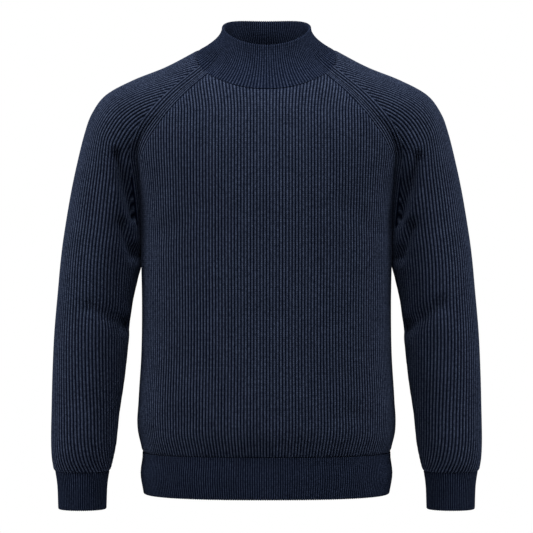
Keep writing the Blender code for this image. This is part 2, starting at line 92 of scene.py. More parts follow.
BodyRing = namedtuple("BodyRing", "z half_width front back")
BODY = (
    BodyRing(-0.638, 0.1834, 0.110, 0.106),
    BodyRing(-0.610, 0.1880, 0.112, 0.108),
    BodyRing(-0.577, 0.1850, 0.112, 0.108),
    BodyRing(-0.545, 0.1922, 0.121, 0.116),
    BodyRing(-0.500, 0.1905, 0.124, 0.117),
    BodyRing(-0.430, 0.1863, 0.125, 0.112),
    BodyRing(-0.360, 0.1853, 0.126, 0.108),
    BodyRing(-0.2858, 0.1865, 0.127, 0.110),
    BodyRing(-0.200, 0.1880, 0.130, 0.116),
    BodyRing(-0.140, 0.1900, 0.128, 0.118),
    BodyRing(-0.100, 0.1900, 0.1225, 0.116),
    BodyRing(-0.070, 0.1900, 0.1145, 0.113),
    BodyRing(-0.0417, 0.1900, 0.1015, 0.108),
    BodyRing(-0.0123, 0.1900, 0.080, 0.098),
    BodyRing(0.0245, 0.1900, 0.060, 0.078),
)
SIDE_ROWS = 8  # rows of the table up to the underarm

SleeveRow = namedtuple("SleeveRow", "outer front back spread half_depth")
SLEEVE = (
    SleeveRow((0.1010, 0.000, 0.0240), (0.0925, -0.050, -0.0123), (0.0700, 0.050, 0.0245), 75, 0),
    SleeveRow((0.1510, 0.000, -0.0020), (0.1295, -0.075, -0.0452), (0.1080, 0.071, -0.0100), 85, 0),
    SleeveRow((0.2000, 0.000, -0.0215), (0.1592, -0.085, -0.0777), (0.1400, 0.083, -0.0450), 95, 0),
    SleeveRow((0.2395, 0.000, -0.0430), (0.1787, -0.079, -0.1048), (0.1660, 0.083, -0.0800), 104, 0),
    SleeveRow((0.2600, 0.001, -0.0695), (0.1907, -0.064, -0.1361), (0.1840, 0.072, -0.1150), 122, 0),
    SleeveRow((0.2713, 0.001, -0.0990), (0.1900, -0.053, -0.1604), (0.1900, 0.055, -0.1500), 136, 0),
    SleeveRow((0.2819, 0.000, -0.1420), (0.1880, -0.040, -0.1904), (0.1885, 0.040, -0.1904), 147, 0),
    SleeveRow((0.2920, -0.001, -0.1900), (0.1868, -0.024, -0.2308), (0.1870, 0.024, -0.2308), 160, 0),
    SleeveRow((0.3016, -0.003, -0.2483), UNDERARM, UNDERARM, 180, 0.0685),
    SleeveRow((0.3067, -0.005, -0.2883), (0.1935, -0.003, -0.3180), None, 180, 0.0660),
    SleeveRow((0.3110, -0.008, -0.3380), (0.2018, -0.007, -0.3580), None, 180, 0.0620),
    SleeveRow((0.3158, -0.012, -0.3980), (0.2068, -0.012, -0.4120), None, 180, 0.0580),
    SleeveRow((0.3182, -0.016, -0.4580), (0.2127, -0.016, -0.4680), None, 180, 0.0535),
    SleeveRow((0.3193, -0.019, -0.5130), (0.2202, -0.019, -0.5200), None, 180, 0.0490),
    SleeveRow((0.3199, -0.021, -0.5550), (0.2241, -0.021, -0.5600), None, 180, 0.0465),
    SleeveRow((0.3188, -0.022, -0.5830), (0.2289, -0.022, -0.5860), None, 180, 0.0420),
    SleeveRow((0.3155, -0.022, -0.6043), (0.2335, -0.022, -0.6043), None, 180, 0.0350),
)
UNDERARM_ROW = 8
WRIST_ROW = len(SLEEVE) - 1

CuffRing = namedtuple("CuffRing", "z half_width half_depth")
CUFF = (
    CuffRing(CUFF_TOP, 0.0398, 0.0345),
    CuffRing(-0.618, 0.0376, 0.0335),
    CuffRing(CUFF_BOTTOM, 0.0354, 0.0318),
)

# Soft troughs (depth above 0) and ridges (below 0), from start to end in the front view (x, z).
# On a sleeve x is measured outwards, "arm" is -1 for the wearer's right, and "face" is -1 on the
# front and 1 on the back. On the body x is signed.
Crease = namedtuple("Crease", "start end half_width depth")
SLEEVE_CREASES = {
    (-1, -1): (
        Crease((0.2200, -0.138), (0.1920, -0.226), 0.0095, 0.0105),
        Crease((0.2120, -0.236), (0.1970, -0.284), 0.0080, 0.0075),
        Crease((0.2230, -0.190), (0.1980, -0.262), 0.0075, -0.0030),
        Crease((0.2600, -0.361), (0.2060, -0.388), 0.0110, 0.0060),
    ),
    (1, -1): (
        Crease((0.2220, -0.142), (0.1930, -0.230), 0.0095, 0.0098),
        Crease((0.2130, -0.240), (0.1980, -0.287), 0.0080, 0.0072),
        Crease((0.2240, -0.194), (0.1990, -0.265), 0.0075, -0.0028),
        Crease((0.2570, -0.356), (0.2070, -0.392), 0.0110, 0.0062),
    ),
    (-1, 1): (
        Crease((0.2240, -0.146), (0.1950, -0.238), 0.0090, 0.0060),
        Crease((0.2500, -0.372), (0.2080, -0.384), 0.0120, 0.0045),
    ),
    (1, 1): (
        Crease((0.2220, -0.142), (0.1940, -0.234), 0.0085, 0.0062),
        Crease((0.2560, -0.366), (0.2070, -0.390), 0.0120, 0.0048),
    ),
}
BODY_CREASES = {
    -1: (
        Crease((-0.1500, -0.250), (-0.0950, -0.215), 0.0160, 0.0016),
        Crease((0.1520, -0.244), (0.1020, -0.206), 0.0150, 0.0014),
        Crease((-0.1750, -0.545), (-0.1100, -0.520), 0.0160, 0.0022),
        Crease((0.1760, -0.540), (0.1180, -0.512), 0.0150, 0.0020),
    ),
    1: (
        Crease((-0.1480, -0.240), (-0.0850, -0.196), 0.0180, 0.0022),
        Crease((0.1510, -0.246), (0.0950, -0.204), 0.0170, 0.0020),
        Crease((-0.1100, -0.470), (0.0900, -0.486), 0.0200, 0.0026),
        Crease((-0.1600, -0.540), (-0.0400, -0.520), 0.0170, 0.0022),
    ),
}

# Rows and columns of the shells.
SAMPLES = 241
LEVELS = 600
SEAM_POINTS = 150
BODY_ROWS_BELOW = 42
BODY_ROWS_ABOVE = 50
CAP_ROWS = 56
ARM_ROWS = 76
INNER_EVERY = 6  # one inner column for this many outer ones
INNER_ROWS_EVERY = 3
BAND_POINTS = 8  # points across one rib of a raglan seam
BAND_INNER_EVERY = 4  # the same shares for the inside of a raglan seam's ribs
BAND_INNER_ROWS_EVERY = 2
COLLAR_ROWS = 15
RING_ROWS = 9  # of the hem band and the cuffs
COLLAR_ROLL_ROWS = 7  # round the collar's free edge
ROLL_ROWS = 5  # round the free edge of the others
NECK_POINTS = 60  # along half of the neck seam on the front, and again on the back
SHARP_ANGLE = 80  # degrees


def smooth(places, values, at):
    """Values between the rows of a table, along a curve with no corners."""
    places = np.asarray(places, float)
    values = np.asarray(values, float)
    at = np.clip(np.asarray(at, float), places[0], places[-1])
    step = np.diff(places)
    rise = np.diff(values) / step
    slope = np.empty_like(values)
    slope[0], slope[-1] = rise[0], rise[-1]
    slope[1:-1] = (rise[:-1] * step[1:] + rise[1:] * step[:-1]) / (step[1:] + step[:-1])
    row = np.clip(np.searchsorted(places, at) - 1, 0, len(places) - 2)
    width = step[row]
    share = (at - places[row]) / width
    return (
        values[row] * (1 + 2 * share) * (1 - share) ** 2
        + slope[row] * width * share * (1 - share) ** 2
        + values[row + 1] * share**2 * (3 - 2 * share)
        + slope[row + 1] * width * share**2 * (share - 1)
    )


def fade(distance, over):
    """0 at no distance, rising softly to 1."""
    share = np.clip(distance / over, 0, 1)
    return share * share * (3 - 2 * share)


def unit(vectors):
    return vectors / np.linalg.norm(vectors, axis=-1, keepdims=True)


def dot(a, b):
    return (a * b).sum(axis=-1)


def rib(count):
    """How high a rib stands, as a share, where count goes up by 1 from valley to valley."""
    return np.abs(np.sin(np.pi * count)) ** RIB_ROUNDNESS


def relief(count, rise):
    """How far a panel's ribs stand out from the base, where rise falls to 0 at a seam."""
    return (RIB_HEIGHT * rib(count) - RIB_SINK) * rise - SEAM_DIP * (1 - rise)


class Surface:
    """Half of a piece, from its middle line to its edge. A place is a distance from the middle
    line round a ring, and a level is the ring's height or row."""

    def __init__(self, levels, rings):
        steps = np.linalg.norm(np.diff(rings, axis=1), axis=2)
        along = np.pad(np.cumsum(steps, axis=1), ((0, 0), (1, 0)))
        share = np.linspace(0, 1, rings.shape[1])
        self.levels = levels
        self.width = along[:, -1]
        self.rings = np.stack([
            np.stack([np.interp(share * a[-1], a, ring[:, axis]) for axis in range(3)], axis=-1)
            for a, ring in zip(along, rings)
        ])

    def row(self, level):
        place = (level - self.levels[0]) / (self.levels[1] - self.levels[0])
        whole = np.clip(place.astype(int), 0, len(self.levels) - 2)
        return whole, place - whole

    def edge(self, level):
        i, f = self.row(np.asarray(level, float))
        return self.width[i] * (1 - f) + self.width[i + 1] * f

    def at(self, place, level):
        i, f = self.row(np.asarray(level, float))
        share = place / self.edge(level) * (self.rings.shape[1] - 1)
        j = np.clip(share.astype(int), 0, self.rings.shape[1] - 2)
        g, f = (share - j)[..., None], f[..., None]
        low = self.rings[i, j] * (1 - g) + self.rings[i, j + 1] * g
        high = self.rings[i + 1, j] * (1 - g) + self.rings[i + 1, j + 1] * g
        return low * (1 - f) + high * f

    def off_line(self, place, level):
        """How place and level change for each metre straight off a line on the surface, towards
        the middle line."""
        step = self.levels[1] - self.levels[0]
        here = self.at(place, level)
        across = (here - self.at(place - step / 9, level)) / (step / 9)
        rise = (self.at(place, level + step) - self.at(place, level - step)) / (2 * step)
        line = unit(np.gradient(here, axis=0))
        inward = unit(line * dot(across, line)[:, None] - across)
        aa, ar, rr = dot(across, across), dot(across, rise), dot(rise, rise)
        sa, sr = dot(inward, across), dot(inward, rise)
        return (sa * rr - sr * ar) / (aa * rr - ar**2), (sr * aa - sa * ar) / (aa * rr - ar**2)


# The body's form.

ANGLES = np.linspace(0, np.pi / 2, SAMPLES)


def raglan_edge(side):
    """The raglan seam of the front (side -1) or the back (side 1), from the underarm up."""
    name = "front" if side < 0 else "back"
    rows = SLEEVE[: UNDERARM_ROW + 1][::-1]
    return np.array([getattr(row, name) for row in rows]).T


def body_ring(side, z):
    heights = [ring.z for ring in BODY]
    depth = smooth(heights, [ring.front if side < 0 else ring.back for ring in BODY], z)
    below = smooth(heights[:SIDE_ROWS], [ring.half_width for ring in BODY[:SIDE_ROWS]], z)
    edge_x, edge_y, edge_z = raglan_edge(side)
    seam_x = smooth(edge_z, edge_x, z)
    seam_y = np.abs(smooth(edge_z, edge_y, z))
    above = seam_x / (1 - (seam_y / depth) ** RING_POWER) ** (1 / RING_POWER)
    return np.where(z > UNDERARM[2], above, below), depth


def body_point(side, z, angle):
    half_width, depth = body_ring(side, z)
    x = half_width * np.sin(angle) ** (2 / RING_POWER)
    y = side * depth * np.maximum(np.cos(angle), 0) ** (2 / RING_POWER)
    return np.stack(np.broadcast_arrays(x, y, z), axis=-1)


def body_line(side, x, z):
    """How far the points of a line, given by x and z, are from the centre line round the body."""
    angle = np.arcsin(np.clip(x / body_ring(side, z)[0], 0, 1) ** (RING_POWER / 2))
    rings = body_point(side, z[:, None], angle[:, None] * np.linspace(0, 1, SAMPLES))
    return np.linalg.norm(np.diff(rings, axis=1), axis=2).sum(axis=1)


def rib_girth(surface, side, z):
    """The girth that the ribs are shared over. Above the underarm they keep their pitch, and
    fan out towards the neck."""
    corner = raglan_edge(side)[2][-1]
    fan = FAN * np.clip((z - FAN_FROM) / (corner - FAN_FROM), 0, 1) ** 1.5
    return np.where(z > UNDERARM[2], surface.edge(UNDERARM[2]) * (1 + fan), surface.edge(z))


def neck_height(side, x):
    corner_x, _, corner_z = raglan_edge(side)[:, -1]
    middle, power = (NECK_FRONT, NECK_FRONT_POWER) if side < 0 else (NECK_BACK, 2)
    return middle + (corner_z - middle) * (x / corner_x) ** power


def pressed(points, creases, outwards=1):
    """How far the creases press each point in."""
    flat = points[..., [0, 2]] * (outwards, 1)
    press = np.zeros(flat.shape[:-1])
    for crease in creases:
        start, end = np.array(crease.start), np.array(crease.end)
        along = end - start
        share = np.clip((flat - start) @ along / (along @ along), 0, 1)
        away = np.linalg.norm(flat - start - share[..., None] * along, axis=-1)
        press += crease.depth * np.exp(-((away / crease.half_width) ** 2))
    return press


def grid_normals(points, closed=False):
    """Square to a grid of points, read from its neighbours."""
    if closed:
        across = np.roll(points, -1, axis=0) - np.roll(points, 1, axis=0)
    else:
        across = np.gradient(points, axis=0)
    return unit(np.cross(across, np.gradient(points, axis=1)))


# Shells.


class Knit:
    """The mesh of one piece while it is made: points, their places in the knitting (ribs across,
    stitches along) and faces."""

    def __init__(self):
        self.points, self.places, self.faces = [], [], []
        self.count = 0

    def grid(self, points, places):
        columns, rows = points.shape[:2]
        numbers = self.count + np.arange(columns * rows).reshape(columns, rows)
        self.points.append(points.reshape(-1, 3))
        self.places.append(np.stack(np.broadcast_arrays(*places), axis=-1).reshape(-1, 2))
        self.count += numbers.size
        return numbers

    def close(self, faces):
        """Keeps the faces of one closed shell, turned outwards."""
        points = np.concatenate(self.points)
        fans = [
            np.array(faces_of)[:, [0, k, k + 1]]
            for faces_of in faces
            for k in range(1, len(faces_of[0]) - 1)
        ]
        a, b, c = points[np.concatenate(fans)].transpose(1, 0, 2)
        turned = dot(a, np.cross(b, c)).sum() < 0
        for faces_of in faces:
            listed = np.array(faces_of)[:, ::-1] if turned else np.array(faces_of)
            self.faces += listed.tolist()

    def sheet(self, outer, outer_places, inner, inner_places, outer_at, inner_at, mirror=1):
        """One closed shell from an open outer and an open inner grid. The "at" values say how far
        along the piece each of their columns is."""
        flip = np.array([mirror, 1, 1])
        out = self.grid(outer * flip, outer_places)
        inn = self.grid(inner * flip, inner_places)
        rims = []
        for level, turn in ((0, -1), (-1, 1)):
            rims += [face[::turn] for face in strip(out[:, level], inn[:, level], outer_at, inner_at)]
        out_rows = np.linspace(0, 1, outer.shape[1])
        in_rows = np.linspace(0, 1, inner.shape[1])
        rims += strip(out[0], inn[0], out_rows, in_rows)
        rims += [face[::-1] for face in strip(out[-1], inn[-1], out_rows, in_rows)]
        self.close([quads(out), quads(inn)[:, ::-1], rims])

    def ring(self, points, places):
        """One closed shell from a grid that closes on itself both ways."""
        numbers = self.grid(points, places)
        wrapped = np.pad(numbers, ((0, 1), (0, 1)), mode="wrap")
        self.close([quads(wrapped)])

    def finish(self, node, material, ribs_round=None):
        name = f"{node}_knit"
        mesh = bpy.data.meshes.new(name)
        mesh.from_pydata(np.concatenate(self.points).tolist(), [], self.faces)
        numbers = np.empty(len(mesh.loops), int)
        mesh.loops.foreach_get("vertex_index", numbers)
        places = np.concatenate(self.places)[numbers]
        if ribs_round:
            corners = places.reshape(-1, 4, 2)
            across = corners[:, :, 0]
            spans = np.ptp(across, axis=1) > ribs_round / 2
            split = across[spans]
            across[spans] = np.where(split < ribs_round / 2, split + ribs_round, split)
            places = corners.reshape(-1, 2)
        mesh.uv_layers.new(name="Knit").data.foreach_set("uv", places.astype(np.float32).ravel())
        mesh.shade_smooth()
        mesh.set_sharp_from_angle(angle=np.radians(SHARP_ANGLE))
        mesh.materials.append(material)
        obj = bpy.data.objects.new(name, mesh)
        bpy.context.scene.collection.objects.link(obj)
        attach(obj, "root")
        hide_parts(node)
        return obj


def quads(numbers):
    corners = numbers[:-1, :-1], numbers[1:, :-1], numbers[1:, 1:], numbers[:-1, 1:]
    return np.stack(corners, axis=-1).reshape(-1, 4)


def strip(first, second, first_at, second_at):
    """Triangles between a fine and a coarse chain of points, which advance by their places."""
    turns = [(here + there) / 2 for here, there in zip(second_at, second_at[1:])]
    faces = []
    i = j = 0
    while i < len(first) - 1 or j < len(second) - 1:
        if j == len(second) - 1 or (i < len(first) - 1 and first_at[i + 1] <= turns[j]):
            faces.append((first[i], first[i + 1], second[j]))
            i += 1
        else:
            faces.append((first[i], second[j + 1], second[j]))
            j += 1
    return faces


# Pieces.


def body_panel(name, side, material):
    z = np.linspace(HEM_BOTTOM, BODY[-1].z, LEVELS)
    surface = Surface(z, body_point(side, z[:, None], ANGLES[None, :]))
    edge_x, _, edge_z = raglan_edge(side)
    seam_z = np.linspace(edge_z[0], edge_z[-1], SEAM_POINTS)
    seam = body_line(side, smooth(edge_z, edge_x, seam_z), seam_z)
    band = band_width(seam_z - seam_z[0])
    neck_x = np.linspace(0, edge_x[-1], SAMPLES)
    neck_z = neck_height(side, neck_x)
    neck_place = body_line(side, neck_x, neck_z)
    neck_share = neck_place / rib_girth(surface, side, neck_z)
    step = np.linalg.norm(np.subtract(*surface.at(neck_place[-2:], neck_z[-2:])))
    along_neck = -np.diff(neck_place)[-1] / step, -np.diff(neck_z)[-1] / step
    by_place, by_z = turned(surface.off_line(seam, seam_z), along_neck, seam_z[-1] - seam_z)

    shares = np.linspace(-1, 1, BODY_RIBS * RIB_POINTS + 1)
    lap = np.maximum(band - BAND_LAP, 0)
    stop, stop_z = seam + by_place * lap, seam_z + by_z * lap
    stop_share = stop / rib_girth(surface, side, stop_z)
    on_neck = np.interp(np.abs(shares), neck_share, neck_z, right=1)
    on_band = np.interp(-np.abs(shares), -stop_share, stop_z, right=1)
    tops = np.minimum(on_neck, on_band)
    below = np.linspace(HEM_TOP, CHEST_FROM, BODY_ROWS_BELOW + 1)[:-1]
    rise = np.linspace(0, 1, BODY_ROWS_ABOVE)
    rows_above = CHEST_FROM + (tops[:, None] - CHEST_FROM) * rise
    rows = np.concatenate([np.broadcast_to(below, (len(shares), len(below))), rows_above], axis=1)
    place = np.abs(shares)[:, None] * rib_girth(surface, side, rows)
    base = surface.at(place, rows)
    base[..., 0] *= np.sign(shares)[:, None]
    count = (shares[:, None] + 1) / 2 * BODY_RIBS
    room = np.minimum(tops[:, None] - rows, rows - HEM_TOP)
    out = grid_normals(base) * -side
    press = pressed(base, BODY_CREASES[side]) * fade(room, EDGE_FADE)
    outer = base + out * (relief(count, fade(room, RIB_FADE)) - press)[..., None]
    inside = slice(None, None, INNER_EVERY), slice(None, None, INNER_ROWS_EVERY)
    inner = (base - out * (WALL + SEAM_DIP + press)[..., None])[inside]
    knit = Knit()
    places = (count, rows / STITCH)
    knit.sheet(outer, places, inner, [np.broadcast_to(p, rows.shape)[inside] for p in places],
               shares, shares[::INNER_EVERY])
    for mirror in (-1, 1):
        raglan_band(knit, surface, seam, seam_z, by_place, by_z, band, -side, mirror)
    return knit.finish(name, material)


def band_width(above_underarm):
    return BAND_RIBS * BAND_RIB_PITCH * np.maximum(fade(above_underarm, BAND_END), BAND_LEAST)


def turned(off_seam, along_neck, below_neck):
    """The ways off a raglan seam, turned near its top to run along the neck seam."""
    share = fade(below_neck, BAND_TURN)
    return [neck + (off - neck) * share for off, neck in zip(off_seam, along_neck)]


def raglan_band(knit, surface, seam, level, by_place, by_level, band, turn, mirror, backwards=False):
    """The ribs that run along a raglan seam, as a strip from its inner line out to the seam."""
    count = np.linspace(BAND_RIBS, 0, BAND_RIBS * BAND_POINTS + 1)[:, None]
    off = count / BAND_RIBS * band
    place, height = seam + by_place * off, level + by_level * off
    base = surface.at(place, height)
    if backwards:
        base, count = base[::-1], count[::-1]
    out = grid_normals(base) * turn
    size = fade(band, BAND_FLAT)
    outer = base + out * (relief(count, 1.0) * size)[..., None]
    inner = base - out * (WALL + SEAM_DIP)
    along = np.pad(np.cumsum(np.linalg.norm(np.diff(base[0], axis=0), axis=1)), (1, 0))
    places = (count, along[None, :] / STITCH)
    at = np.linspace(0, 1, len(base))
    inside = slice(None, None, BAND_INNER_EVERY), slice(None, None, BAND_INNER_ROWS_EVERY)
    inner_places = [np.broadcast_to(p, base.shape[:2])[inside] for p in places]
    knit.sheet(outer, places, inner[inside], inner_places, at, at[::BAND_INNER_EVERY], mirror)


def sleeve_rings(rows):
    """Rings of the sleeve, from the front raglan edge over the outer line to the back one."""
    numbers = np.arange(len(SLEEVE))
    outer, front, back = (
        np.stack([smooth(numbers, [point[k] for point in line], rows) for k in range(3)], axis=-1)
        for line in (
            [row.outer for row in SLEEVE],
            [row.front for row in SLEEVE],
            [row.back or row.front for row in SLEEVE],
        )
    )
    spread = np.radians(smooth(numbers, [r.spread for r in SLEEVE], rows))
    depth = smooth(numbers[UNDERARM_ROW:], [r.half_depth for r in SLEEVE[UNDERARM_ROW:]], rows)
    tube = rows >= UNDERARM_ROW - 1e-4
    spread = np.where(tube, np.pi, spread)
    with np.errstate(divide="ignore", invalid="ignore"):
        seam_to_seam = (back - front) / 2 / np.sin(spread)[:, None]
    chord = np.where(tube[:, None], (0, 1, 0) * depth[:, None], seam_to_seam)
    middle = (front + back) / 2
    angle = np.linspace(-1, 1, 2 * SAMPLES - 1)[None, :, None] * spread[:, None, None]
    end = np.cos(spread)[:, None, None]
    reach = ((outer - middle)[:, None, :]) / (1 - end)
    return middle[:, None, :] + reach * (np.cos(angle) - end) + chord[:, None, :] * np.sin(angle)


def sleeve(name, arm, material):
    rows = np.linspace(0, WRIST_ROW, LEVELS)
    rings = sleeve_rings(rows)
    half = {
        -1: Surface(rows, rings[:, SAMPLES - 1 :: -1]),
        1: Surface(rows, rings[:, SAMPLES - 1 :]),
    }
    down = np.pad(np.cumsum(np.linalg.norm(np.diff(rings[:, SAMPLES - 1], axis=0), axis=1)), (1, 0))
    knit = Knit()
    starts, ends, bands = {}, {}, {}
    seam_row = np.linspace(0, UNDERARM_ROW, SEAM_POINTS)
    for face in (-1, 1):
        surface = half[face]
        seam = surface.edge(seam_row)
        from_neck = np.interp(seam_row, rows, down)
        by_place, by_row = turned(surface.off_line(seam, seam_row), (-1, 0), from_neck)
        band = band_width(from_neck[-1] - from_neck)
        lap = np.maximum(band - BAND_LAP, 0)
        starts[face] = (seam + by_place * lap, np.clip(seam_row + by_row * lap, 0, UNDERARM_ROW))
        low = rows >= UNDERARM_ROW
        ends[face] = (surface.edge(rows[low]), rows[low])
        bands[face] = (surface, seam, seam_row, by_place, by_row, band)
    widest = half[1].edge(float(UNDERARM_ROW))
    columns = int(widest / SLEEVE_RIB_PITCH * RIB_POINTS)
    column = np.arange(-columns, columns + 1)
    count = column / RIB_POINTS
    place = count * SLEEVE_RIB_PITCH
    start, end = np.empty(len(place)), np.empty(len(place))
    for face in (-1, 1):
        chosen = place < 0 if face < 0 else place >= 0
        away = np.abs(place[chosen])
        start[chosen] = np.interp(away, *starts[face])
        end[chosen] = np.interp(-away, -ends[face][0], ends[face][1])
    cap = np.linspace(0, 1, CAP_ROWS + 1)[:-1]
    low = np.linspace(0, 1, ARM_ROWS)
    level = np.concatenate([
        start[:, None] + (UNDERARM_ROW - start)[:, None] * cap,
        UNDERARM_ROW + (end - UNDERARM_ROW)[:, None] * low,
    ], axis=1)
    away = np.broadcast_to(np.abs(place)[:, None], level.shape)
    front = (place < 0)[:, None]
    edge = np.where(front, half[-1].edge(level), half[1].edge(level))
    held = np.minimum(away, edge)
    base = np.where(front[..., None], half[-1].at(held, level), half[1].at(held, level))
    length = np.interp(level, rows, down)
    room = np.minimum(length - length[:, :1], length[:, -1:] - length)
    room = np.minimum(room, np.where(level > UNDERARM_ROW, edge - held, 1))
    out = -grid_normals(base)
    press = np.where(front, *[pressed(base, SLEEVE_CREASES[arm, face]) for face in (-1, 1)])
    press = press * fade(np.minimum(room, edge - held), EDGE_FADE)
    outer = base + out * (relief(count[:, None] + 0.5, fade(room, RIB_FADE)) - press)[..., None]
    chosen = sorted({*range(0, len(place), INNER_EVERY), len(place) - 1})
    inner = (base - out * (WALL + SEAM_DIP + press)[..., None])[chosen][:, ::INNER_ROWS_EVERY]
    stitches = length / STITCH
    counts = np.broadcast_to(count[:, None] + 0.5, level.shape)
    knit.sheet(outer, (counts, stitches), inner,
               (counts[chosen][:, ::INNER_ROWS_EVERY], stitches[chosen][:, ::INNER_ROWS_EVERY]),
               place, place[chosen], arm)
    for face in (-1, 1):
        surface, seam, seam_row, by_place, by_row, band = bands[face]
        raglan_band(
            knit, surface, seam, seam_row, by_place, by_row, band, -1, arm, backwards=face < 0
        )
    return knit.finish(name, material)


def bent_band(middle, out, roll_rows):
    """A ribbed band as one closed grid: its outside from the seam to the free edge, round that
    edge, and up its inside. The middle surface runs from the seam to the free edge."""
    half = BAND_WALL / 2 - FINE_RIB_SINK
    rise = FINE_RIB_HEIGHT * rib(np.arange(len(middle)) / RIB_POINTS)[:, None, None]
    tip = unit(middle[:, -1] - middle[:, -2])[:, None, :]
    turn = np.linspace(0, np.pi, roll_rows + 2)[1:-1][None, :, None]
    away = out[:, -1:] * np.cos(turn) + tip * np.sin(turn)
    edge = middle[:, -1:] - tip * half + away * (half + rise)
    flat = middle.copy()
    flat[:, -1] -= tip[:, 0] * half
    outer = flat + out * (half + rise)
    inner = flat - out * (half + rise)
    points = np.concatenate([outer, edge, inner[:, ::-1]], axis=1)
    steps = np.linalg.norm(np.diff(points, axis=1), axis=2).mean(axis=0)
    along = np.pad(np.cumsum(steps), (1, 0)) / STITCH
    return points, (np.arange(len(middle))[:, None] / RIB_POINTS, along[None, :])


def neck_line():
    """The neck seam all round, from the centre front to the wearer's left and back."""
    line = []
    for side in (-1, 1):
        x = np.linspace(0, raglan_edge(side)[0, -1], NECK_POINTS)
        z = neck_height(side, x)
        angle = np.arcsin(np.clip(x / body_ring(side, z)[0], 0, 1) ** (RING_POWER / 2))
        edge = body_point(side, z, angle)
        line.append(edge if side < 0 else edge[::-1])
    half = np.concatenate([line[0][:-1], sleeve_rings(np.array([0.0]))[0, ::4], line[1][1:]])
    return np.concatenate([half, half[::-1][1:-1] * (-1, 1, 1)])


def evenly(line, count):
    """This many points at even steps round a closed line."""
    line = np.concatenate([line, line[:1]])
    along = np.pad(np.cumsum(np.linalg.norm(np.diff(line, axis=0), axis=1)), (1, 0))
    at = np.arange(count) / count * along[-1]
    return np.stack([np.interp(at, along, line[:, k]) for k in range(3)], axis=-1)


def collar(material):
    middle = (COLLAR_FRONT[0] + COLLAR_BACK[0]) / 2
    reach = (COLLAR_BACK[0] - COLLAR_FRONT[0]) / 2
    turns = np.linspace(0, 2 * np.pi, SAMPLES)[:-1]
    low = ((1 + np.cos(turns)) / 2) ** COLLAR_DIP
    top = evenly(np.stack([
        COLLAR_HALF_WIDTH * np.sin(turns),
        middle - reach * np.cos(turns),
        COLLAR_BACK[1] + (COLLAR_FRONT[1] - COLLAR_BACK[1]) * low,
    ], axis=-1), COLLAR_RIBS * RIB_POINTS)
    base = evenly(neck_line(), COLLAR_RIBS * RIB_POINTS)
    level = np.linspace(0, 1, COLLAR_ROWS)[None, :, None]
    inward = 1 - (1 - level) ** COLLAR_FLARE
    share = np.concatenate([inward, inward, level], axis=2)
    surface = base[:, None, :] + (top - base)[:, None, :] * share
    out = grid_normals(surface, closed=True)
    points, places = bent_band(surface - out * BAND_WALL / 2, out, COLLAR_ROLL_ROWS)
    knit = Knit()
    knit.ring(points, places)
    return knit.finish("collar", material, COLLAR_RIBS)


def hem_band(material):
    heights = np.linspace(HEM_TOP, HEM_BOTTOM, RING_ROWS)
    columns = HEM_RIBS * RIB_POINTS // 2
    rows = []
    for z in heights:
        ring = []
        for side in (-1, 1):
            line = body_point(side, np.full(SAMPLES, z), ANGLES)
            lengths = np.pad(np.cumsum(np.linalg.norm(np.diff(line, axis=0), axis=1)), (1, 0))
            places = np.linspace(-lengths[-1], lengths[-1], columns + 1)[:-1] * -side
            points = np.stack(
                [np.interp(np.abs(places), lengths, line[:, k]) for k in range(3)], axis=-1
            )
            points[:, 0] *= np.sign(places)
            ring.append(points)
        rows.append(np.concatenate(ring))
    surface = np.stack(rows, axis=1)
    out = -grid_normals(surface, closed=True)
    points, places = bent_band(surface - out * BAND_WALL / 2, out, ROLL_ROWS)
    knit = Knit()
    knit.ring(points, places)
    return knit.finish("hem_band", material, HEM_RIBS)


def cuff(name, arm, material):
    turns = np.arange(CUFF_RIBS * RIB_POINTS) / (CUFF_RIBS * RIB_POINTS) * 2 * np.pi
    rings = CUFF[::-1]
    z = np.linspace(CUFF_TOP, CUFF_BOTTOM, RING_ROWS)
    width = smooth([ring.z for ring in rings], [ring.half_width for ring in rings], z)
    depth = smooth([ring.z for ring in rings], [ring.half_depth for ring in rings], z)
    x = arm * (CUFF_MIDDLE[0] + width * np.sin(turns * arm)[:, None])
    y = CUFF_MIDDLE[1] - depth * np.cos(turns)[:, None]
    surface = np.stack(np.broadcast_arrays(x, y, z), axis=-1)
    out = -grid_normals(surface, closed=True)
    points, places = bent_band(surface - out * BAND_WALL / 2, out, ROLL_ROWS)
    knit = Knit()
    knit.ring(points, places)
    return knit.finish(name, material, CUFF_RIBS)


# Materials.


class Nodes:
    """Short ways to add and join shader nodes."""

    def __init__(self, material):
        material.use_nodes = True
        self.tree = material.node_tree
        self.shader = self.tree.nodes["Principled BSDF"]

    def add(self, kind, inputs=(), **settings):
        node = self.tree.nodes.new(kind)
        for name, value in settings.items():
            setattr(node, name, value)
        for socket, value in dict(inputs).items():
            if isinstance(value, bpy.types.NodeSocket):
                self.tree.links.new(value, node.inputs[socket])
            else:
                node.inputs[socket].default_value = value
        return node

    def math(self, operation, a, b=0.0, c=0.0):
        return self.add("ShaderNodeMath", {0: a, 1: b, 2: c}, operation=operation).outputs[0]

    def noise(self, place, scale, detail, roughness=0.5):
        inputs = {"Vector": place, "Scale": scale, "Detail": detail, "Roughness": roughness}
        return self.add("ShaderNodeTexNoise", inputs).outputs["Fac"]

    def spread(self, value, was, becomes):
        """The value, with its range "was" stretched to the range "becomes"."""
        inputs = {"Value": value, "From Min": was[0], "From Max": was[1],
                  "To Min": becomes[0], "To Max": becomes[1]}
        return self.add("ShaderNodeMapRange", inputs).outputs[0]

    def mix(self, share, a, b):
        node = self.add("ShaderNodeMix", {0: share, 6: a, 7: b}, data_type="RGBA")
        return node.outputs[2]


